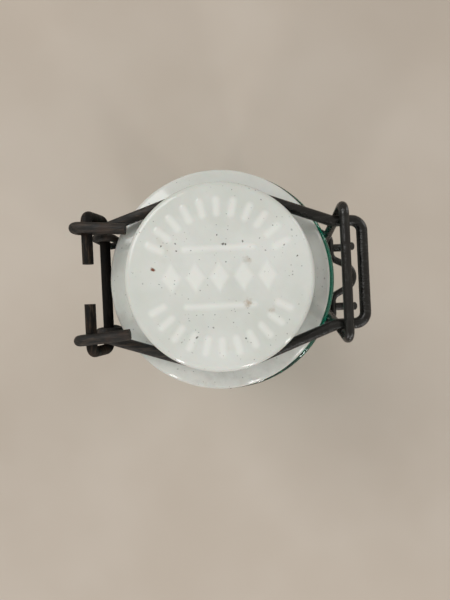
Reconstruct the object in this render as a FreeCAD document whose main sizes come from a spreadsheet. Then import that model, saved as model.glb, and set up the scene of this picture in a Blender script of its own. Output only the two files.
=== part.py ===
"""Wide-mouthed preserving bottle with an opal glass lid and a wire swing closure.

Millimetres. Z is up from the standing face, the Z axis is the bottle's axis, and +X points to the latch.
"""
import FreeCAD, Part
import math
import os
import Sketcher
from FreeCAD import Vector

doc = FreeCAD.newDocument("preserving_bottle")

# Driving sizes
SIZES = [
    ("body_radius", 45.0), ("body_height", 138.0), ("shoulder_height", 60.0), ("neck_height", 34.0),
    ("wall", 3.6), ("base_thickness", 7.0), ("push_up", 4.5), ("standing_radius", 33.0),
    ("neck_radius", 32.2), ("neck_wall", 5.2), ("bead_stand", 5.2), ("bead_height", 15.0), ("bead_slope", 1.5),
    ("heel_round", 7.0), ("shoulder_round", 34.0), ("neck_round", 16.0), ("rim_round", 3.2),
    ("bead_round", 2.0), ("standing_round", 1.5),
    ("seal_gap", 0.2), ("seal_thickness", 2.6), ("seal_inset", 1.0), ("seal_fit", 0.4), ("seal_round", 0.6),
    ("lid_shift", 1.8), ("lid_inset", 1.4), ("lid_edge", 4.4), ("lid_slope", 4.0), ("waist_radius", 25.5),
    ("waist_height", 5.6), ("disc_lip", 2.6), ("disc_flare", 1.6), ("disc_edge", 4.6), ("disc_crown", 1.0),
    ("plug_room", 4.8), ("plug_depth", 8.0), ("plug_wall", 3.8), ("dish_depth", 11.0), ("dish_taper", 2.5),
    ("lid_round", 1.8), ("disc_round", 1.9), ("waist_round", 1.4), ("plug_round", 1.4),
    ("bail_wire", 3.4), ("hinge_gauge", 3.4), ("neck_gauge", 2.5), ("stirrup_gauge", 3.0),
    ("running_gap", 0.2), ("wire_gap", 0.35), ("bail_lift", 3.0),
    ("hinge_stand", 2.2), ("hinge_lean", 2.6), ("hinge_drop", 11.2), ("hinge_bend", 2.6), ("knob_bend", 2.0),
    ("pin_end", 6.2), ("eye_spread", 17.4), ("eye_reach", 12.8), ("eye_lean", 1.4),
    ("bail_kick", 4.0), ("bail_return", 6.0),
    ("tongue_past", 6.2), ("tongue_spread", 16.0), ("tongue_corner", 3.4), ("tongue_bend", 9.0),
    ("carrier_inset", 5.8), ("carrier_tail", 4.0), ("carrier_bend", 4.0), ("neck_wire_drop", 3.5),
    ("pivot_stand", 3.6), ("pivot_length", 8.2), ("nose_reach", 14.2), ("front_bend", 3.2), ("nose_bend", 5.0),
    ("foot_spread", 11.5), ("toe_reach", 8.0), ("toe_rise", 4.4), ("stirrup_bend", 3.0),
    ("bar_lean", 4.3), ("bar_room", 5.2),
]
sheet = doc.addObject("Spreadsheet::Sheet", "sizes")
for row, (name, value) in enumerate(SIZES, start=1):
    sheet.set("A%d" % row, name)
    sheet.set("B%d" % row, str(value))
    sheet.setAlias("B%d" % row, name)
doc.recompute()


def size(name):
    """A driving size, read from the sheet."""
    return float(sheet.get(name))


def value_of(expression):
    """The number that a sum of driving sizes stands for."""
    total = 0.0
    for term in expression.replace("-", "+-").split("+"):
        term = term.strip()
        if term:
            sign = -1.0 if term.startswith("-") else 1.0
            total += sign * size(term.lstrip("- "))
    return total


def bound(expression):
    """The same sum, written as an expression on the sheet."""
    words = expression.replace("+", " + ").replace("-", " - ").split()
    return " ".join(w if w in "+-" else "sizes." + w for w in words)


def turned_body(label, outline):
    """A body of revolution whose outline points are sums of sizes; an empty sum lies on an axis."""
    body = doc.addObject("PartDesign::Body", label)
    body.Label = label
    sketch = body.newObject("Sketcher::SketchObject", label + "_profile")
    plane = [f for f in body.Origin.OriginFeatures if f.Role == "XZ_Plane"][0]
    sketch.AttachmentSupport = [(plane, "")]
    sketch.MapMode = "FlatFace"
    points = [Vector(value_of(r), value_of(z), 0) for r, z in outline]
    count = len(points)
    for i in range(count):
        sketch.addGeometry(Part.LineSegment(points[i], points[(i + 1) % count]))
    for i in range(count):
        sketch.addConstraint(Sketcher.Constraint("Coincident", i, 2, (i + 1) % count, 1))
    for i, (r, z) in enumerate(outline):
        for kind, expression, axis in (("DistanceX", r, -2), ("DistanceY", z, -1)):
            if not expression:
                sketch.addConstraint(Sketcher.Constraint("PointOnObject", i, 1, axis))
                continue
            index = sketch.addConstraint(
                Sketcher.Constraint(kind, -1, 1, i, 1, value_of(expression)))
            sketch.setExpression("Constraints[%d]" % index, bound(expression))
    turn = body.newObject("PartDesign::Revolution", label + "_turn")
    turn.Profile = sketch
    turn.ReferenceAxis = (sketch, ["V_Axis"])
    turn.Angle = 360
    doc.recompute()
    return body


def round_rims(body, rims):
    """Round the circular edges at the given (radius, height, round) sums, one fillet each."""
    for number, (r, z, radius) in enumerate(rims):
        want_r = value_of(r)
        want_z = value_of(z)
        base = body.Tip
        names = []
        for i, edge in enumerate(base.Shape.Edges, start=1):
            if not isinstance(edge.Curve, Part.Circle):
                continue
            off_r = abs(edge.Curve.Radius - want_r)
            off_z = abs(edge.Curve.Center.z - want_z)
            if off_r < 0.01 and off_z < 0.01:
                names.append("Edge%d" % i)
        fillet = body.newObject("PartDesign::Fillet", "%s_round_%d" % (body.Label, number))
        fillet.Base = (base, names)
        fillet.setExpression("Radius", bound(radius))
        doc.recompute()


def corner_arc(before, corner, after, radius):
    """Start, middle and end of the bend of a wire at a corner."""
    back = (before - corner).normalize()
    ahead = (after - corner).normalize()
    half = back.getAngle(ahead) / 2
    reach = radius / math.tan(half)
    middle_way = (back + ahead).normalize()
    middle = corner + middle_way * (radius / math.sin(half) - radius)
    return corner + back * reach, middle, corner + ahead * reach


def bent_wire(label, gauge, route):
    """A round wire along corners (point, bend radius): straight runs joined by tangent arcs."""
    edges = []
    place = route[0][0]
    for i in range(1, len(route) - 1):
        start, middle, end = corner_arc(route[i - 1][0], route[i][0], route[i + 1][0], route[i][1])
        if (start - place).Length > 1e-4:
            edges.append(Part.LineSegment(place, start).toShape())
        else:
            start = place
        edges.append(Part.Arc(start, middle, end).toShape())
        place = end
    edges.append(Part.LineSegment(place, route[-1][0]).toShape())
    path = Part.Wire(edges)
    heading = route[1][0] - route[0][0]
    section = Part.Wire(Part.Circle(route[0][0], heading, gauge / 2).toShape())
    solid = path.makePipeShell([section], True, False)
    expected = math.pi * gauge ** 2 / 4 * path.Length
    if abs(solid.Volume - expected) > 0.01 * expected:
        raise RuntimeError("%s: volume %.1f, expected %.1f" % (label, solid.Volume, expected))
    wire = doc.addObject("Part::Feature", label)
    wire.Label = label
    wire.Shape = solid
    return wire


def mirrored(half, middle=()):
    """A route and its mirror image across the XZ plane, as one route, with any corners between."""
    other = [(Vector(p.x, -p.y, p.z), bend) for p, bend in reversed(half)]
    return half + list(middle) + other


def tangent_corner(point, centre, radius, side):
    """Where the tangent from a point to a circle meets the circle's tangent at its +Y top."""
    offset = point - centre
    polar = math.atan2(offset.y, offset.x)
    reach = math.hypot(offset.x, offset.y)
    touch = polar + side * math.acos(radius / reach)
    half_turn = (math.pi / 2 - touch) / 2
    return Vector(centre.x + radius * math.tan(half_turn), centre.y + radius, centre.z)


# Glass bottle
SHOULDER_TOP = "body_height+shoulder_height"
RIM = SHOULDER_TOP + "+neck_height"
BEAD_FOOT = RIM + "-bead_height"
NECK_TOP = BEAD_FOOT + "-bead_slope"
BEAD = "neck_radius+bead_stand"
BORE = "neck_radius-neck_wall"
INNER = "body_radius-wall"
bottle = turned_body("bottle", [
    ("", "push_up"), ("standing_radius", ""), ("body_radius", ""), ("body_radius", "body_height"),
    ("neck_radius", SHOULDER_TOP), ("neck_radius", NECK_TOP), (BEAD, BEAD_FOOT), (BEAD, RIM), (BORE, RIM),
    (BORE, SHOULDER_TOP), (INNER, "body_height"), (INNER, "base_thickness"), ("", "base_thickness+push_up"),
])
round_rims(bottle, [
    ("body_radius", "", "heel_round"), ("standing_radius", "", "standing_round"),
    ("body_radius", "body_height", "shoulder_round"), ("neck_radius", SHOULDER_TOP, "neck_round"),
    ("neck_radius", NECK_TOP, "bead_round"), (BEAD, BEAD_FOOT, "bead_round"),
    (BEAD, RIM, "rim_round"), (BORE, RIM, "rim_round"),
    (BORE, SHOULDER_TOP, "neck_round"), (INNER, "body_height", "shoulder_round"),
    (INNER, "base_thickness", "heel_round"),
])

# Rubber seal on the lid's plug
LID = BEAD + "-lid_inset"
PLUG = BORE + "-plug_room"
SEAL_FOOT = RIM + "+seal_gap"
SEAT = SEAL_FOOT + "+seal_thickness"
SEAL = LID + "-seal_inset"
SEAL_BORE = PLUG + "+seal_fit"
seal = turned_body("seal", [
    (SEAL_BORE, SEAL_FOOT), (SEAL, SEAL_FOOT), (SEAL, SEAT), (SEAL_BORE, SEAT),
])
round_rims(seal, [(SEAL, SEAL_FOOT, "seal_round"), (SEAL, SEAT, "seal_round")])

# Opal glass lid
EDGE_TOP = SEAT + "+lid_edge"
WAIST_FOOT = EDGE_TOP + "+lid_slope"
WAIST_TOP = WAIST_FOOT + "+waist_height"
DISC = "waist_radius+disc_lip"
DISC_FOOT = WAIST_TOP + "+disc_flare"
DISC_TOP = DISC_FOOT + "+disc_edge"
PLUG_FOOT = SEAT + "-plug_depth"
PLUG_BORE = PLUG + "-plug_wall"
DISH = PLUG_BORE + "-dish_taper"
DISH_TOP = PLUG_FOOT + "+dish_depth"
lid = turned_body("lid", [
    ("", DISH_TOP), (DISH, DISH_TOP), (PLUG_BORE, PLUG_FOOT), (PLUG, PLUG_FOOT), (PLUG, SEAT), (LID, SEAT),
    (LID, EDGE_TOP), ("waist_radius", WAIST_FOOT), ("waist_radius", WAIST_TOP), (DISC, DISC_FOOT),
    (DISC, DISC_TOP), ("", DISC_TOP + "+disc_crown"),
])
round_rims(lid, [
    (LID, SEAT, "lid_round"), (LID, EDGE_TOP, "lid_round"),
    ("waist_radius", WAIST_FOOT, "waist_round"), ("waist_radius", WAIST_TOP, "waist_round"),
    (DISC, DISC_FOOT, "disc_round"), (DISC, DISC_TOP, "disc_round"),
    (PLUG, PLUG_FOOT, "plug_round"), (PLUG_BORE, PLUG_FOOT, "plug_round"), (DISH, DISH_TOP, "plug_round"),
])
for body in (seal, lid):
    body.setExpression("Placement.Base.x", "-sizes.lid_shift")

# Levels and radii that the wires share
bail_radius = size("bail_wire") / 2
hinge_radius = size("hinge_gauge") / 2
neck_wire_radius = size("neck_gauge") / 2
stirrup_radius = size("stirrup_gauge") / 2
bail_level = value_of(WAIST_FOOT) + size("bail_lift")
neck_level = value_of(NECK_TOP) - size("neck_wire_drop")
lid_back = -size("lid_shift") - value_of(LID)
cross_x = lid_back - size("hinge_stand")
cross_level = bail_level - size("hinge_drop")
hinge_x = cross_x - size("hinge_lean")
eye_radius = bail_radius + size("running_gap") + hinge_radius
eye_y = size("eye_spread")
side_y = eye_y + bail_radius + size("running_gap") + size("knob_bend")
pivot_x = value_of(BEAD) + size("pivot_stand")
bar_x = pivot_x - size("bar_lean")

# Hinge wire: two pins with a gap between their cut ends, two sides and the bar behind the rim
hinge_wire = bent_wire("hinge_wire", size("hinge_gauge"), mirrored([
    (Vector(hinge_x, size("pin_end"), bail_level), 0),
    (Vector(hinge_x, side_y, bail_level), size("knob_bend")),
    (Vector(cross_x, side_y, cross_level), size("hinge_bend")),
]))

# Bail: an open eye round each pin, the run round the lid's waist and the tongue
lid_axis = Vector(-size("lid_shift"), 0, bail_level)
waist_ring = size("waist_radius") + size("wire_gap") + bail_radius
eye_back = hinge_x - eye_radius
eye_top = bail_level + eye_radius
eye_foot = bail_level - eye_radius
kick = Vector(hinge_x + size("bail_kick"), eye_y, eye_foot)
arm_y = size("tongue_spread")
tongue_x = bar_x + size("tongue_past")
arm_start = Vector(tongue_x - size("tongue_bend"), arm_y, bail_level)
bail = bent_wire("bail", size("bail_wire"), mirrored([
    (Vector(hinge_x + size("eye_reach"), eye_y - size("eye_lean"), eye_top), 0),
    (Vector(eye_back, eye_y, eye_top), eye_radius),
    (Vector(eye_back, eye_y, eye_foot), eye_radius),
    (kick, size("bail_return")),
    (tangent_corner(kick, lid_axis, waist_ring, -1), waist_ring),
    (tangent_corner(arm_start, lid_axis, waist_ring, 1), waist_ring),
    (arm_start, size("bail_return")),
    (Vector(tongue_x, arm_y, bail_level), size("tongue_corner")),
]))

# Neck wire: hooks that carry the hinge wire, the run round the neck, the front pivot and the nose
neck_axis = Vector(0, 0, neck_level)
neck_ring = size("neck_radius") + neck_wire_radius
carrier_radius = hinge_radius + neck_wire_radius
carrier_y = side_y - size("carrier_inset")
carrier_top = cross_level + carrier_radius
carrier_front = cross_x + carrier_radius
carrier_back = cross_x - carrier_radius
riser = Vector(carrier_back, carrier_y, neck_level)
foot_y = size("foot_spread")
pivot_outer = Vector(pivot_x, foot_y + size("pivot_length") / 2, neck_level)
pivot_inner = Vector(pivot_x, foot_y - size("pivot_length") / 2, neck_level)
nose = Vector(pivot_x + size("nose_reach"), 0, neck_level)
neck_wire = bent_wire("neck_wire", size("neck_gauge"), mirrored([
    (Vector(carrier_front, carrier_y, cross_level - size("carrier_tail")), 0),
    (Vector(carrier_front, carrier_y, carrier_top), carrier_radius),
    (Vector(carrier_back, carrier_y, carrier_top), carrier_radius),
    (riser, size("carrier_bend")),
    (tangent_corner(riser, neck_axis, neck_ring, -1), neck_ring),
    (tangent_corner(pivot_outer, neck_axis, neck_ring, 1), neck_ring),
    (pivot_outer, size("front_bend")),
    (pivot_inner, size("front_bend")),
], [(nose, size("nose_bend"))]))

# Stirrup: toes hooked under the neck wire, two legs and the bar over the bail's tongue
foot_radius = neck_wire_radius + size("running_gap") + stirrup_radius
foot_level = neck_level - foot_radius
toe_x = pivot_x + size("toe_reach")
bar_level = bail_level + bail_radius + size("wire_gap") + stirrup_radius
stirrup_bend = size("stirrup_bend")
stirrup = bent_wire("stirrup", size("stirrup_gauge"), mirrored([
    (Vector(toe_x, foot_y, foot_level + size("toe_rise")), 0),
    (Vector(toe_x - foot_radius, foot_y, foot_level), stirrup_bend),
    (Vector(pivot_x - foot_radius, foot_y, foot_level), foot_radius),
    (Vector(bar_x, arm_y + size("bar_room"), bar_level), stirrup_bend),
]))

# Check and export
doc.recompute()
for item in doc.Objects:
    if "Invalid" in item.State or "Error" in item.State:
        raise RuntimeError("%s did not build: %s" % (item.Label, item.State))
os.makedirs("parts", exist_ok=True)
for piece in (bottle, seal, lid, hinge_wire, bail, neck_wire, stirrup):
    if piece.Shape.isNull() or not piece.Shape.isValid():
        raise RuntimeError("%s has no valid shape" % piece.Label)
    piece.Shape.exportStep("parts/%s.step" % piece.Label)
    print(piece.Label, round(piece.Shape.Volume / 1000, 2), "cm3", len(piece.Shape.Solids), "solid")
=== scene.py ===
"""Looks of the preserving bottle: opal glass lid, green glass bottle, rubber seal and iron wires."""

import math

import bmesh
import bpy
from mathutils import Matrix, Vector, noise


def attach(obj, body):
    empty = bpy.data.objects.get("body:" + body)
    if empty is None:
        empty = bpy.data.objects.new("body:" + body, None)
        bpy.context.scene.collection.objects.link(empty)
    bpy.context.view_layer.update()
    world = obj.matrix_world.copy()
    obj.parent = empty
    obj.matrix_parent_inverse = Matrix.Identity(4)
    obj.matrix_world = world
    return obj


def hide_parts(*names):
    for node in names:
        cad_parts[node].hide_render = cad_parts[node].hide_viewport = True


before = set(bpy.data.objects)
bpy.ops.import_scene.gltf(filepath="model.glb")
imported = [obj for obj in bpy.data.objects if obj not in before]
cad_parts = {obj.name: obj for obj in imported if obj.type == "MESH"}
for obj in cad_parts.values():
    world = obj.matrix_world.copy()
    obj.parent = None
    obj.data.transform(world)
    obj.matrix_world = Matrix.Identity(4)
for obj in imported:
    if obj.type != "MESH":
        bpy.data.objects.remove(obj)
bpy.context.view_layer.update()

MM = 0.001


def rgb(red, green, blue):
    """A linear colour from screen values of 0 to 255."""
    def linear(value):
        value /= 255.0
        return value / 12.92 if value <= 0.04045 else ((value + 0.055) / 1.055) ** 2.4
    return (linear(red), linear(green), linear(blue), 1.0)


# Node helpers: places in metres, noise and cell scales per metre, spans in a noise's 0 to 1
EDGE_GRAIN = 900.0
NOISE_SPAN = (0.3, 0.7)


class Graph:
    """A material's node tree, with one short call for each kind of node."""

    def __init__(self, name):
        self.material = bpy.data.materials.new(name)
        self.material.use_nodes = True
        self.nodes = self.material.node_tree.nodes
        self.shader = self.nodes["Principled BSDF"]
        self.output = self.nodes["Material Output"]
        self.coordinates = self.nodes.new("ShaderNodeTexCoord")
        self.place = self.coordinates.outputs["Object"]

    def link(self, source, target):
        self.material.node_tree.links.new(source, target)

    def fill(self, socket, value):
        """Link a socket, or set a plain value."""
        if hasattr(value, "is_output"):
            self.link(value, socket)
        else:
            socket.default_value = value

    def set(self, **sockets):
        """Fill the shader's sockets by name."""
        for name, value in sockets.items():
            self.fill(self.shader.inputs[name.replace("_", " ")], value)

    def noise(self, scale, detail=3.0, roughness=0.55, stretch=(1.0, 1.0, 1.0)):
        """Soft noise, drawn out along an axis whose stretch is below 1."""
        squeeze = self.nodes.new("ShaderNodeVectorMath")
        squeeze.operation = "MULTIPLY"
        self.link(self.place, squeeze.inputs[0])
        squeeze.inputs[1].default_value = stretch
        node = self.nodes.new("ShaderNodeTexNoise")
        self.link(squeeze.outputs["Vector"], node.inputs["Vector"])
        node.inputs["Scale"].default_value = scale
        node.inputs["Detail"].default_value = detail
        node.inputs["Roughness"].default_value = roughness
        return node.outputs["Fac"]

    def cells(self, scale):
        """Distance to the nearest cell point, and a random value for each cell."""
        node = self.nodes.new("ShaderNodeTexVoronoi")
        self.link(self.place, node.inputs["Vector"])
        node.inputs["Scale"].default_value = scale
        return node.outputs["Distance"], node.outputs["Color"]

    def span(self, value, low, high, out_low=0.0, out_high=1.0):
        """Map a value from one span to another, clamped and smooth."""
        node = self.nodes.new("ShaderNodeMapRange")
        node.interpolation_type = "SMOOTHSTEP"
        self.fill(node.inputs["Value"], value)
        node.inputs["From Min"].default_value = low
        node.inputs["From Max"].default_value = high
        node.inputs["To Min"].default_value = out_low
        node.inputs["To Max"].default_value = out_high
        return node.outputs["Result"]

    def ease(self, share, first, last):
        """A number that goes from first to last as a share goes from 0 to 1."""
        return self.span(share, 0.0, 1.0, first, last)

    def math(self, operation, first, second):
        node = self.nodes.new("ShaderNodeMath")
        node.operation = operation
        self.fill(node.inputs[0], first)
        self.fill(node.inputs[1], second)
        return node.outputs["Value"]

    def both(self, first, second):
        return self.math("MULTIPLY", first, second)

    def total(self, first, second):
        return self.math("ADD", first, second)

    def mix(self, factor, first, second):
        """Mix two colours."""
        node = self.nodes.new("ShaderNodeMix")
        node.data_type = "RGBA"
        self.fill(node.inputs[0], factor)
        self.fill(node.inputs[6], first)
        self.fill(node.inputs[7], second)
        return node.outputs[2]

    def axis(self, name, source="Object"):
        """One coordinate of the object's own space."""
        node = self.nodes.new("ShaderNodeSeparateXYZ")
        self.link(self.coordinates.outputs[source], node.inputs["Vector"])
        return node.outputs[name]

    def between(self, name, places, first, last):
        """A number that goes from first to last between two places on an axis, in millimetres."""
        return self.span(self.axis(name), places[0] * MM, places[1] * MM, first, last)

    def attribute(self, name):
        """A value that the mesh keeps for each of its points."""
        node = self.nodes.new("ShaderNodeAttribute")
        node.attribute_name = name
        return node.outputs["Fac"]

    def near(self, point, radius, ragged, core):
        """1 in the core share of a radius round a point, 0 past the radius, with a ragged edge between."""
        node = self.nodes.new("ShaderNodeVectorMath")
        node.operation = "DISTANCE"
        self.link(self.place, node.inputs[0])
        node.inputs[1].default_value = point
        frayed = self.span(self.noise(EDGE_GRAIN), *NOISE_SPAN, 0.0, ragged * radius)
        return self.span(self.total(node.outputs["Value"], frayed), core * radius, radius, 1.0, 0.0)

    def bump(self, height, distance, strength, below=None):
        """A normal from a height, on top of the normal below."""
        node = self.nodes.new("ShaderNodeBump")
        self.link(height, node.inputs["Height"])
        node.inputs["Distance"].default_value = distance
        self.fill(node.inputs["Strength"], strength)
        if below is not None:
            self.link(below, node.inputs["Normal"])
        return node.outputs["Normal"]


# Turned shapes, in millimetres until the mesh is made
ARC_STEP = math.radians(9.0)
ON_AXIS = 1e-6


def rounded(corners, longest):
    """Points of an outline of (radius, height, rounding) corners, none further apart than longest."""
    bends = []
    for i, (r, z, rounding) in enumerate(corners):
        corner = Vector((r, z))
        if rounding == 0.0 or i in (0, len(corners) - 1):
            bends.append([corner])
            continue
        back = (Vector(corners[i - 1][:2]) - corner).normalized()
        ahead = (Vector(corners[i + 1][:2]) - corner).normalized()
        half = back.angle(ahead) / 2.0
        reach = rounding / math.tan(half)
        centre = corner + (back + ahead).normalized() * (rounding / math.sin(half))
        start = corner + back * reach - centre
        turn = math.pi - 2.0 * half
        side = 1.0 if back.cross(ahead) < 0.0 else -1.0
        steps = max(2, math.ceil(max(turn / ARC_STEP, turn * rounding / longest)))
        arc = []
        for k in range(steps + 1):
            angle = side * turn * k / steps
            c, s = math.cos(angle), math.sin(angle)
            arc.append(centre + Vector((start.x * c - start.y * s, start.x * s + start.y * c)))
        bends.append(arc)
    points = []
    for bend in bends:
        if points:
            gap = bend[0] - points[-1]
            count = max(1, math.ceil(gap.length / longest))
            points += [points[-1] + gap * (k / count) for k in range(1, count)]
        points += bend
    return points


def turned(name, outline, steps, axis_x, moved, material, body, node):
    """Turn an outline that starts and ends on the axis, move each point, and replace a node."""
    shape = bmesh.new()
    rings = []
    for point in outline:
        if point.x < ON_AXIS:
            rings.append([shape.verts.new(moved(Vector((0.0, 0.0, point.y))))])
            continue
        ring = []
        for k in range(steps):
            angle = 2.0 * math.pi * k / steps
            place = Vector((point.x * math.cos(angle), point.x * math.sin(angle), point.y))
            ring.append(shape.verts.new(moved(place)))
        rings.append(ring)
    for low, high in zip(rings, rings[1:]):
        for k in range(steps):
            corners = [low[k % len(low)], low[(k + 1) % len(low)]]
            corners += [high[(k + 1) % len(high)], high[k % len(high)]]
            shape.faces.new(list(dict.fromkeys(corners)))
    bmesh.ops.recalc_face_normals(shape, faces=shape.faces)
    for vertex in shape.verts:
        vertex.co = (vertex.co + Vector((axis_x, 0.0, 0.0))) * MM
    mesh = bpy.data.meshes.new(name)
    shape.to_mesh(mesh)
    shape.free()
    mesh.materials.append(material)
    mesh.shade_smooth()
    piece = bpy.data.objects.new(name, mesh)
    bpy.context.collection.objects.link(piece)
    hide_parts(node)
    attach(piece, body)
    return piece


def soft_step(value):
    """A smooth rise from 0 to 1, flat at both ends."""
    value = min(1.0, max(0.0, value))
    return value * value * (3.0 - 2.0 * value)


# Opal lid: the solid's outline, from the plug's hollow over the flange, the waist and the disc
LID_X = -1.8
SEAT = 234.8
HOLLOW_RADIUS, HOLLOW_TOP = 15.9, SEAT + 3.0
PLUG_BORE, PLUG_RADIUS, PLUG_FOOT = 18.4, 22.2, SEAT - 8.0
FLANGE_RADIUS, FLANGE_EDGE, FLANGE_TOP = 36.0, SEAT + 4.4, SEAT + 8.4
WAIST_RADIUS, WAIST_TOP = 25.5, SEAT + 14.0
DISC_RADIUS, DISC_FOOT, DISC_EDGE, DISC_CROWN = 28.1, SEAT + 15.6, SEAT + 20.2, SEAT + 21.2
LID_ROUND, SEAT_ROUND, FLANGE_ROUND, DISC_ROUND = 1.4, 0.3, 1.8, 1.9
LID_OUTLINE = [
    (0.0, HOLLOW_TOP, 0.0),
    (HOLLOW_RADIUS, HOLLOW_TOP, LID_ROUND),
    (PLUG_BORE, PLUG_FOOT, LID_ROUND),
    (PLUG_RADIUS, PLUG_FOOT, LID_ROUND),
    (PLUG_RADIUS, SEAT, SEAT_ROUND),
    (FLANGE_RADIUS, SEAT, FLANGE_ROUND),
    (FLANGE_RADIUS, FLANGE_EDGE, FLANGE_ROUND),
    (WAIST_RADIUS, FLANGE_TOP, LID_ROUND),
    (WAIST_RADIUS, WAIST_TOP, LID_ROUND),
    (DISC_RADIUS, DISC_FOOT, DISC_ROUND),
    (DISC_RADIUS, DISC_EDGE, DISC_ROUND),
    (0.0, DISC_CROWN, 0.0),
]
LID_SPACING = 0.5
LID_STEPS = 320
LID_WAVE, LID_WAVE_SCALE = 0.06, 0.12

# Raised pattern on the disc: two arcs of plain bars, five lozenges and two lines
PATTERN_FROM, PATTERN_REACH = SEAT + 20.0, 26.0
PATTERN_RISE = 0.18
PATTERN_EDGE = 1.4
BAR_INNER, BAR_OUTER, BAR_HALF = 18.6, 22.4, 0.3
ARC_BARS = 11
ARC_HALF = math.radians(64.0)
LOZENGE_PLACES = (-14.0, -7.0, 0.0, 7.0, 14.0)
LOZENGE_WIDE, LOZENGE_HIGH = 1.9, 2.9
LOZENGE_SLOPE = LOZENGE_WIDE * LOZENGE_HIGH / math.hypot(LOZENGE_WIDE, LOZENGE_HIGH)
LINE_HALF, LINE_PLACE, LINE_THICK = 10.0, 8.4, 0.03


def pattern_gap(x, y):
    """Distance in millimetres from a point on the disc to the nearest bar, lozenge or line."""
    radius = math.hypot(x, y)
    across = math.atan2(abs(y), x) - math.pi / 2.0
    pitch = 2.0 * ARC_HALF / (ARC_BARS - 1)
    number = max(-(ARC_BARS // 2), min(ARC_BARS // 2, round(across / pitch)))
    off = across - number * pitch
    along = radius * math.cos(off)
    past = max(BAR_INNER - along, along - BAR_OUTER, 0.0)
    gap = math.hypot(radius * math.sin(off), past) - BAR_HALF
    for place in LOZENGE_PLACES:
        outside = abs(x - place) / LOZENGE_WIDE + abs(y) / LOZENGE_HIGH - 1.0
        gap = min(gap, outside * LOZENGE_SLOPE)
    past = max(abs(x) - LINE_HALF, 0.0)
    return min(gap, math.hypot(past, abs(y) - LINE_PLACE) - LINE_THICK)


def lid_relief(point):
    """How far the pattern is raised at a point of the lid, from 0 to 1."""
    if point.z < PATTERN_FROM or math.hypot(point.x, point.y) > PATTERN_REACH:
        return 0.0
    return soft_step(1.0 - pattern_gap(point.x, point.y) / PATTERN_EDGE)


def lid_point(point):
    """Raise the pattern on the disc, and give the pressed glass slow waves."""
    wave = LID_WAVE * noise.noise(point * LID_WAVE_SCALE)
    return point + Vector((0.0, 0.0, PATTERN_RISE * lid_relief(point) + wave))


# Green bottle: the solid's outline with a squarer outer edge on the rim, seams and slow waves
PUSH_UP, STANDING_RADIUS, INNER_FLOOR = 4.5, 33.0, 7.0
BODY_RADIUS, BODY_BORE = 45.0, 41.4
NECK_RADIUS, NECK_BORE = 32.2, 27.0
SHOULDER_FOOT, SHOULDER_TOP = 138.0, 198.0
BEAD_RADIUS, BEAD_FOOT, BEAD_EDGE, RIM = 37.4, 215.5, 217.0, 232.0
STANDING_ROUND, FOOT_ROUND, SHOULDER_ROUND, NECK_ROUND = 1.5, 7.0, 34.0, 16.0
BEAD_ROUND, RIM_OUTER_ROUND, RIM_INNER_ROUND = 2.0, 1.6, 3.2
BOTTLE_OUTLINE = [
    (0.0, PUSH_UP, 0.0),
    (STANDING_RADIUS, 0.0, STANDING_ROUND),
    (BODY_RADIUS, 0.0, FOOT_ROUND),
    (BODY_RADIUS, SHOULDER_FOOT, SHOULDER_ROUND),
    (NECK_RADIUS, SHOULDER_TOP, NECK_ROUND),
    (NECK_RADIUS, BEAD_FOOT, BEAD_ROUND),
    (BEAD_RADIUS, BEAD_EDGE, BEAD_ROUND),
    (BEAD_RADIUS, RIM, RIM_OUTER_ROUND),
    (NECK_BORE, RIM, RIM_INNER_ROUND),
    (NECK_BORE, SHOULDER_TOP, NECK_ROUND),
    (BODY_BORE, SHOULDER_FOOT, SHOULDER_ROUND),
    (BODY_BORE, INNER_FLOOR, FOOT_ROUND),
    (0.0, INNER_FLOOR + PUSH_UP, 0.0),
]
BOTTLE_SPACING = 2.0
BOTTLE_STEPS = 256
SEAM_RISE, SEAM_HALF = 0.22, 0.9
OUTER_WAVE, OUTER_WAVE_SCALE = 0.12, 0.05
INNER_WAVE, INNER_WAVE_SCALE = 0.35, 0.03
INNER_WAVE_SHIFT = Vector((9.0, 0.0, 0.0))
STILL_RADIUS, STILL_HEIGHT = 1.0, 1.0
BODY_OUTSIDE = 42.5
NECK_OUTSIDE, NECK_FROM = 31.0, 140.0


def bottle_point(point):
    """Slow waves inside the body, and finer waves with two seams outside and on the shoulder."""
    radius = math.hypot(point.x, point.y)
    if radius < STILL_RADIUS or point.z < STILL_HEIGHT:
        return point
    outward = Vector((point.x, point.y, 0.0)) / radius
    outside = radius > BODY_OUTSIDE or (point.z > NECK_FROM and radius > NECK_OUTSIDE)
    if not outside:
        return point + outward * INNER_WAVE * noise.noise(point * INNER_WAVE_SCALE + INNER_WAVE_SHIFT)
    seam = SEAM_RISE * soft_step((SEAM_HALF - abs(point.x)) / SEAM_HALF)
    return point + outward * (seam + OUTER_WAVE * noise.noise(point * OUTER_WAVE_SCALE))


# Opal glass: colours, and where the flange is darkened, from its full share to where it ends
OPAL_DULL, OPAL_CLEAN, OPAL_RAISED = rgb(204, 207, 199), rgb(218, 220, 214), rgb(234, 235, 229)
RAISED_SHARE = 0.6
CLOUD_SCALE, CLOUD_SPAN = 42.0, (0.33, 0.70)
STAIN_SCALE, STAIN_SPAN = 85.0, (0.66, 0.80)
STAIN_TINT, STAIN_MOST = rgb(192, 184, 164), 0.25
FLANGE_DARK_TINT = rgb(140, 133, 119)
FLANGE_DARK_HEIGHTS = (SEAT + 7.0, SEAT + 10.0)
FLANGE_DARK_SIDES = (-30.0, 30.0)
FLANGE_DARK_MOST, FLANGE_DARK_LEAST = 0.46, 0.10
DIRT_SCALE, DIRT_SPAN, DIRT_SHARES = 260.0, (0.42, 0.72), (0.14, 0.52)
SMEAR_SCALE, SMEAR_SPAN, OPAL_ROUGHNESS = 160.0, (0.4, 0.7), (0.07, 0.17)
DIMPLE_SCALE, DIMPLE_DEPTH, DIMPLE_STRENGTH = 120.0, 0.2 * MM, 0.35
OPAL_GLOW, OPAL_GLOW_DEPTH = 0.10, 3.0 * MM

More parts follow.
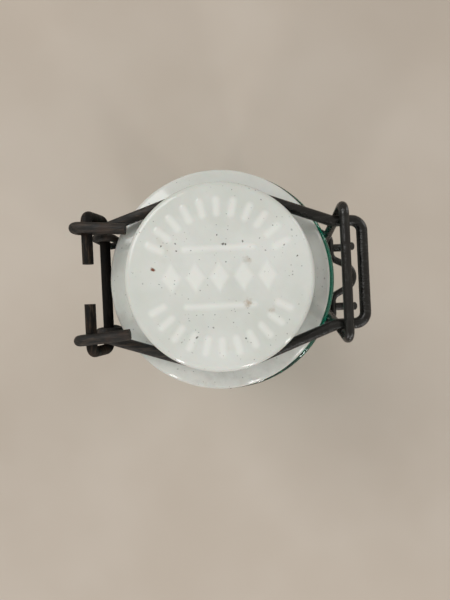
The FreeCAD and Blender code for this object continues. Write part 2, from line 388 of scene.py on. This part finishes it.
# Specks: rows of cells per metre, radius in cells, share of empty cells and strength
SPECK_ROWS = ((330.0, 0.11, 0.22, 1.0), (700.0, 0.15, 0.30, 0.6))
SPECK_CORE, EMPTY_EDGE = 0.5, 0.05
SPECK_GRAIN, SPECK_FRAY = 1700.0, (-0.05, 0.07)
CROWD_SCALE, CROWD_SPAN = 55.0, (0.36, 0.56)
SPECK_TINT = rgb(52, 48, 42)

# Marks on the disc, from its centre: x, y, radius, core share, strength and colour
MARK_HEIGHT = SEAT + 21.0
MARK_RAGGED = 0.4
LID_MARKS = [
    (-19.3, 2.8, 1.3, 0.5, 1.0, rgb(112, 62, 38)),
    (7.9, -8.1, 2.3, 0.1, 0.75, rgb(166, 148, 124)),
    (14.8, -10.4, 2.0, 0.1, 0.5, rgb(172, 158, 136)),
    (8.2, 4.6, 2.2, 0.1, 0.5, rgb(160, 150, 130)),
]

# Pits in the disc, from its centre: x, y and radius
PIT_RAGGED, PIT_CORE, PIT_STRENGTH = 0.7, 0.6, 0.85
PIT_TINT = rgb(52, 47, 40)
LID_PITS = [
    (-12.5, 10.1, 0.7), (-12.3, 9.3, 0.6), (-15.3, 8.4, 0.6), (1.3, 9.3, 0.7),
    (2.1, 9.2, 0.6), (7.1, 9.9, 0.6), (-2.6, -14.8, 0.8), (-7.5, -17.4, 0.8),
    (11.8, -5.0, 0.7), (-3.7, -2.4, 0.6), (4.4, -14.9, 0.6), (-24.6, 7.0, 0.7),
]


def disc_place(x, y):
    """A place on the disc, in metres, from its centre in millimetres."""
    return ((LID_X + x) * MM, y * MM, MARK_HEIGHT * MM)


def opal_glass():
    """White pressed glass with clouds, stains, patchy darkening on the flange that is stronger towards -Y,
    specks, marks and pits.
    """
    g = Graph("opal_glass")
    clouds = g.span(g.noise(CLOUD_SCALE, detail=4.0), *CLOUD_SPAN)
    colour = g.mix(clouds, OPAL_DULL, OPAL_CLEAN)
    stains = g.span(g.noise(STAIN_SCALE), *STAIN_SPAN, 0.0, STAIN_MOST)
    colour = g.mix(stains, colour, STAIN_TINT)
    colour = g.mix(g.both(g.attribute("relief"), RAISED_SHARE), colour, OPAL_RAISED)
    dirt = g.span(g.noise(DIRT_SCALE, detail=5.0, roughness=0.65), *DIRT_SPAN, *DIRT_SHARES)
    # The flange is darkened in noisy patches, more towards -Y than towards +Y.
    low = g.between("Z", FLANGE_DARK_HEIGHTS, 1.0, 0.0)
    flange_darkening = g.both(g.both(low, dirt), g.between("Y", FLANGE_DARK_SIDES, FLANGE_DARK_MOST, FLANGE_DARK_LEAST))
    colour = g.mix(flange_darkening, colour, FLANGE_DARK_TINT)
    ragged = g.span(g.noise(SPECK_GRAIN), *NOISE_SPAN, *SPECK_FRAY)
    crowded = g.span(g.noise(CROWD_SCALE, detail=2.0), *CROWD_SPAN)
    for scale, radius, empty, strength in SPECK_ROWS:
        distance, pick = g.cells(scale)
        dot = g.span(g.total(distance, ragged), SPECK_CORE * radius, radius, strength, 0.0)
        kept = g.span(pick, empty, empty + EMPTY_EDGE)
        colour = g.mix(g.both(g.both(dot, kept), crowded), colour, SPECK_TINT)
    for x, y, radius, core, strength, tint in LID_MARKS:
        mark = g.near(disc_place(x, y), radius * MM, MARK_RAGGED, core)
        colour = g.mix(g.both(mark, strength), colour, tint)
    for x, y, radius in LID_PITS:
        pit = g.near(disc_place(x, y), radius * MM, PIT_RAGGED, PIT_CORE)
        colour = g.mix(g.both(pit, PIT_STRENGTH), colour, PIT_TINT)
    roughness = g.span(g.noise(SMEAR_SCALE, detail=5.0), *SMEAR_SPAN, *OPAL_ROUGHNESS)
    dimples = g.bump(g.noise(DIMPLE_SCALE, detail=2.0), DIMPLE_DEPTH, DIMPLE_STRENGTH)
    g.set(Base_Color=colour, Roughness=roughness, Normal=dimples)
    g.set(Subsurface_Weight=OPAL_GLOW, Subsurface_Scale=OPAL_GLOW_DEPTH)
    return g.material


# Iron: where the hinge side ends and where painted shade lies on the low bar, the colours, and the shares
# of wear and painted highlight
HINGE_SIDE = (-30.0, 20.0)
PAINTED_SHADE_SIDE = (-37.5, -35.5)
PAINTED_SHADE_HEIGHTS = (236.8, 238.5)
IRON_BLACK, IRON_GREY = rgb(4, 4, 3), rgb(15, 15, 13)
PATCH_SCALE, PATCH_SPAN = 260.0, (0.34, 0.70)
STREAK_SCALE, STREAK_SPAN = 1500.0, (0.48, 0.72)
LATCH_WEAR_AND_HIGHLIGHT, HINGE_WEAR_AND_HIGHLIGHT = rgb(78, 82, 78), rgb(98, 82, 66)
LATCH_WORN_AND_HIGHLIGHT, HINGE_WORN_AND_HIGHLIGHT = 0.16, 0.36
FACING_UP, WEAR_AND_HIGHLIGHT_BELOW = (0.1, 0.9), 0.25
RUST_SCALE, RUST_SPAN = 170.0, (0.46, 0.66)
RUST_TINT, RUST_MOST = rgb(50, 35, 24), 0.62
PAINTED_SHADE_TINT, PAINTED_SHADE_MOST = rgb(3, 2, 1), 0.85
SHEEN_SCALE, SHEEN_SPAN, IRON_ROUGHNESS = 500.0, (0.35, 0.7), (0.14, 0.34)
HINGE_ROUGHER, PAINTED_SHADE_ROUGHER = 0.38, 0.3
STREAK_DEPTH, STREAK_STRENGTHS = 0.35 * MM, (0.45, 0.7)
DENT_SCALE, DENT_DEPTH, DENT_STRENGTHS = 420.0, 0.5 * MM, (0.32, 0.5)
ALONG_X, ALONG_Y = (0.12, 1.0, 1.0), (1.0, 0.12, 1.0)
BAIL_GLOSS, HINGE_GLOSS, CROSS_GLOSS = 0.38, 0.16, 0.42


def iron_wire(name, along, gloss):
    """Iron with streaks along one axis, lighter on upward faces as wear and painted highlight: black at
    the latch, browner and rougher at the hinge.
    """
    g = Graph(name)
    hinge_side = g.between("X", HINGE_SIDE, 1.0, 0.0)
    patches = g.span(g.noise(PATCH_SCALE, detail=5.0, roughness=0.65), *PATCH_SPAN)
    colour = g.mix(patches, IRON_BLACK, IRON_GREY)
    drawn = g.noise(STREAK_SCALE, detail=4.0, roughness=0.6, stretch=along)
    # Light streaks on upward faces: partly wear, partly a painted highlight along the wire's top.
    upward = g.span(g.axis("Z", "Normal"), *FACING_UP, WEAR_AND_HIGHLIGHT_BELOW, 1.0)
    streaks = g.both(g.span(drawn, *STREAK_SPAN), upward)
    worn_and_highlight = g.both(streaks, g.ease(hinge_side, LATCH_WORN_AND_HIGHLIGHT, HINGE_WORN_AND_HIGHLIGHT))
    colour = g.mix(worn_and_highlight, colour, g.mix(hinge_side, LATCH_WEAR_AND_HIGHLIGHT, HINGE_WEAR_AND_HIGHLIGHT))
    rust = g.span(g.noise(RUST_SCALE, detail=6.0, roughness=0.7), *RUST_SPAN, 0.0, RUST_MOST)
    colour = g.mix(g.both(hinge_side, rust), colour, RUST_TINT)
    # Painted shade: near-black colour on the low bar behind the hinge, where shade falls; it also makes
    # the surface rougher there.
    painted_shade = g.both(g.between("X", PAINTED_SHADE_SIDE, 1.0, 0.0), g.between("Z", PAINTED_SHADE_HEIGHTS, PAINTED_SHADE_MOST, 0.0))
    colour = g.mix(painted_shade, colour, PAINTED_SHADE_TINT)
    sheen = g.span(g.noise(SHEEN_SCALE, stretch=along), *SHEEN_SPAN, *IRON_ROUGHNESS)
    roughness = g.total(sheen, g.both(hinge_side, HINGE_ROUGHER))
    roughness = g.total(roughness, g.both(painted_shade, PAINTED_SHADE_ROUGHER))
    lines = g.bump(drawn, STREAK_DEPTH, g.ease(hinge_side, *STREAK_STRENGTHS))
    dented = g.noise(DENT_SCALE, detail=4.0, roughness=0.6)
    dents = g.bump(dented, DENT_DEPTH, g.ease(hinge_side, *DENT_STRENGTHS), lines)
    g.set(Base_Color=colour, Roughness=roughness, Normal=dents, Specular_IOR_Level=gloss)
    return g.material


# Green glass: surface colours, the tint through its thickness, and small bubbles
GLASS_DEEP, GLASS_CLEAR = (0.86, 0.95, 0.91, 1.0), (0.93, 0.98, 0.96, 1.0)
GLASS_INDEX = 1.51
GLASS_TINT = (0.02, 0.76, 0.71, 1.0)
GLASS_DENSITY = 210.0
TONE_SCALE = 30.0
HAZE_SCALE, HAZE_SPAN, HAZE_ROUGHNESS = 70.0, (0.5, 0.8), (0.02, 0.10)
RIPPLE_SCALE, RIPPLE_DEPTH, RIPPLE_STRENGTH = 38.0, 1.2 * MM, 0.3
BUBBLE_CELLS = 150.0
BUBBLE_RADII = (0.05, 0.11)
BUBBLE_EMPTY = (0.74, 0.76)
BUBBLE_DEPTH, BUBBLE_STRENGTH = 0.4 * MM, 0.6


def green_glass():
    """Thick green glass with ripples, a few bubbles and a faint haze."""
    g = Graph("green_glass")
    ripples = g.bump(g.noise(RIPPLE_SCALE, detail=0.0), RIPPLE_DEPTH, RIPPLE_STRENGTH)
    distance, pick = g.cells(BUBBLE_CELLS)
    bubble = g.both(g.span(distance, *BUBBLE_RADII, 1.0, 0.0), g.span(pick, *BUBBLE_EMPTY))
    normal = g.bump(bubble, BUBBLE_DEPTH, BUBBLE_STRENGTH, ripples)
    haze = g.span(g.noise(HAZE_SCALE, detail=5.0), *HAZE_SPAN, *HAZE_ROUGHNESS)
    tone = g.mix(g.span(g.noise(TONE_SCALE), *NOISE_SPAN), GLASS_DEEP, GLASS_CLEAR)
    g.set(Base_Color=tone, Transmission_Weight=1.0, IOR=GLASS_INDEX, Roughness=haze, Normal=normal)
    tint = g.nodes.new("ShaderNodeVolumeAbsorption")
    tint.inputs["Color"].default_value = GLASS_TINT
    tint.inputs["Density"].default_value = GLASS_DENSITY
    g.link(tint.outputs["Volume"], g.output.inputs["Volume"])
    return g.material


# Rubber and floor
RUBBER_DARK, RUBBER_RED = rgb(92, 50, 36), rgb(128, 76, 56)
RUBBER_SCALE, RUBBER_SPAN, RUBBER_ROUGHNESS = 220.0, (0.35, 0.7), (0.62, 0.8)
BLOOM_SCALE, BLOOM_SPAN = 700.0, (0.55, 0.72)
BLOOM_TINT, BLOOM_MOST = rgb(156, 126, 106), 0.4
GRAIN_SCALE, GRAIN_DEPTH, GRAIN_STRENGTH = 1400.0, 0.2 * MM, 0.5
FLOOR_DARK, FLOOR_PALE = rgb(188, 176, 162), rgb(195, 184, 171)
FLOOR_SCALE, FLOOR_ROUGHNESS = 6.0, 0.9


def seal_rubber():
    """Aged red-brown rubber with a pale bloom."""
    g = Graph("seal_rubber")
    tone = g.span(g.noise(RUBBER_SCALE, detail=4.0), *RUBBER_SPAN)
    colour = g.mix(tone, RUBBER_DARK, RUBBER_RED)
    bloom = g.span(g.noise(BLOOM_SCALE), *BLOOM_SPAN, 0.0, BLOOM_MOST)
    colour = g.mix(bloom, colour, BLOOM_TINT)
    grain = g.bump(g.noise(GRAIN_SCALE), GRAIN_DEPTH, GRAIN_STRENGTH)
    g.set(Base_Color=colour, Roughness=g.ease(tone, *RUBBER_ROUGHNESS), Normal=grain)
    return g.material


def floor_paper():
    """Plain pale paper, barely clouded."""
    g = Graph("floor_paper")
    tone = g.span(g.noise(FLOOR_SCALE), *NOISE_SPAN)
    g.set(Base_Color=g.mix(tone, FLOOR_DARK, FLOOR_PALE), Roughness=FLOOR_ROUGHNESS)
    return g.material


# Pieces: the two glasses replace their nodes, and the other nodes get their materials
def dress(node_name, material):
    """Give a CAD node its finished material."""
    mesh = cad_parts[node_name].data
    mesh.materials.clear()
    mesh.materials.append(material)
    for face in mesh.polygons:
        face.material_index = 0


lid_outline = rounded(LID_OUTLINE, LID_SPACING)
lid_glass = turned("lid_glass", lid_outline, LID_STEPS, LID_X, lid_point, opal_glass(), "lid", "lid")
relief = lid_glass.data.attributes.new("relief", "FLOAT", "POINT")
for vertex in lid_glass.data.vertices:
    relief.data[vertex.index].value = lid_relief(vertex.co / MM - Vector((LID_X, 0.0, 0.0)))
bottle_outline = rounded(BOTTLE_OUTLINE, BOTTLE_SPACING)
bottle_glass = turned("bottle_glass", bottle_outline, BOTTLE_STEPS, 0.0, bottle_point, green_glass(),
                      "bottle", "bottle")
dress("seal", seal_rubber())
dress("bail", iron_wire("iron_wire_bail", ALONG_X, BAIL_GLOSS))
dress("hinge_wire", iron_wire("iron_wire_hinge", ALONG_Y, HINGE_GLOSS))
cross_wire = iron_wire("iron_wire_cross", ALONG_Y, CROSS_GLOSS)
for wire_node in ("neck_wire", "stirrup"):
    dress(wire_node, cross_wire)

# Stage and light, in metres and watts, with bearings in degrees
FLOOR_HALF = 3.0
KEY_PLACE, KEY_TARGET, KEY_SIZE, KEY_POWER = (-0.44, 0.40, 0.78), (0.0, 0.0, 0.24), (0.5, 0.5), 3.4
FILL_PLACE, FILL_TARGET, FILL_SIZE, FILL_POWER = (0.95, 0.55, 0.45), (0.0, 0.0, 0.15), (0.35, 0.8), 1.8
LAMP_BEARINGS = (240.0, 286.0, 316.0)
LAMP_REACH, LAMP_HEIGHT, LAMP_SIZE, LAMP_POWER = 0.80, 0.48, (0.08, 0.50), 1.35
SKY_TINT = (1.0, 0.98, 0.96, 1.0)
SKY_RISE = 0.7
SKY_LOW, SKY_HIGH = 0.15, 0.52
BACKDROP = rgb(212, 204, 194)


def flat_plane(name, half, material):
    """A square of the stage at the height that the bottle stands on."""
    mesh = bpy.data.meshes.new(name)
    corners = [(-half, -half, 0.0), (half, -half, 0.0), (half, half, 0.0), (-half, half, 0.0)]
    mesh.from_pydata(corners, [], [(0, 1, 2, 3)])
    mesh.materials.append(material)
    plane = bpy.data.objects.new(name, mesh)
    bpy.context.collection.objects.link(plane)


def area_light(name, place, target, size, power):
    """A soft rectangle of light that faces its target."""
    data = bpy.data.lights.new(name, "AREA")
    data.shape = "RECTANGLE"
    data.size, data.size_y = size
    data.energy = power
    lamp = bpy.data.objects.new(name, data)
    lamp.location = place
    lamp.rotation_euler = (Vector(target) - Vector(place)).to_track_quat("-Z", "Y").to_euler()
    bpy.context.collection.objects.link(lamp)


def studio_world():
    """Soft light that grows from the horizon upwards, and a plain backdrop where it is seen."""
    world = bpy.data.worlds.new("studio")
    world.use_nodes = True
    nodes = world.node_tree.nodes
    links = world.node_tree.links
    soft = nodes["Background"]
    soft.inputs["Color"].default_value = SKY_TINT
    direction = nodes.new("ShaderNodeTexCoord")
    height = nodes.new("ShaderNodeSeparateXYZ")
    links.new(direction.outputs["Generated"], height.inputs["Vector"])
    rise = nodes.new("ShaderNodeMapRange")
    rise.interpolation_type = "SMOOTHSTEP"
    links.new(height.outputs["Z"], rise.inputs["Value"])
    limits = {"From Min": 0.0, "From Max": SKY_RISE, "To Min": SKY_LOW, "To Max": SKY_HIGH}
    for name, value in limits.items():
        rise.inputs[name].default_value = value
    links.new(rise.outputs["Result"], soft.inputs["Strength"])
    plain = nodes.new("ShaderNodeBackground")
    plain.inputs["Color"].default_value = BACKDROP
    path = nodes.new("ShaderNodeLightPath")
    seen = path.outputs["Is Camera Ray"]
    for ray in ("Is Glossy Ray", "Is Transmission Ray"):
        either = nodes.new("ShaderNodeMath")
        either.operation = "MAXIMUM"
        links.new(seen, either.inputs[0])
        links.new(path.outputs[ray], either.inputs[1])
        seen = either.outputs["Value"]
    mix = nodes.new("ShaderNodeMixShader")
    links.new(seen, mix.inputs["Fac"])
    links.new(soft.outputs["Background"], mix.inputs[1])
    links.new(plain.outputs["Background"], mix.inputs[2])
    links.new(mix.outputs["Shader"], nodes["World Output"].inputs["Surface"])
    bpy.context.scene.world = world


flat_plane("floor", FLOOR_HALF, floor_paper())
area_light("key", KEY_PLACE, KEY_TARGET, KEY_SIZE, KEY_POWER)
area_light("fill", FILL_PLACE, FILL_TARGET, FILL_SIZE, FILL_POWER)
for number, bearing in enumerate(LAMP_BEARINGS):
    turn = math.radians(bearing)
    lamp_place = (LAMP_REACH * math.cos(turn), LAMP_REACH * math.sin(turn), LAMP_HEIGHT)
    area_light("lamp_%d" % number, lamp_place, (0.0, 0.0, LAMP_HEIGHT), LAMP_SIZE, LAMP_POWER)
studio_world()

# Camera, from the photograph: straight down on the lid
CAMERA_PLACE = (-0.6 * MM, -6.9 * MM, 386.5 * MM)
CAMERA_ROLL = math.radians(-2.7)
CAMERA_LENS, SENSOR_WIDTH = 27.06, 36.0
CLIP_START = 0.01

camera_data = bpy.data.cameras.new("camera")
camera_data.lens = CAMERA_LENS
camera_data.sensor_width = SENSOR_WIDTH
camera_data.clip_start = CLIP_START
camera = bpy.data.objects.new("camera", camera_data)
camera.location = CAMERA_PLACE
camera.rotation_euler = (0.0, 0.0, CAMERA_ROLL)
bpy.context.collection.objects.link(camera)
bpy.context.scene.camera = camera
bpy.context.scene.view_settings.view_transform = "Standard"
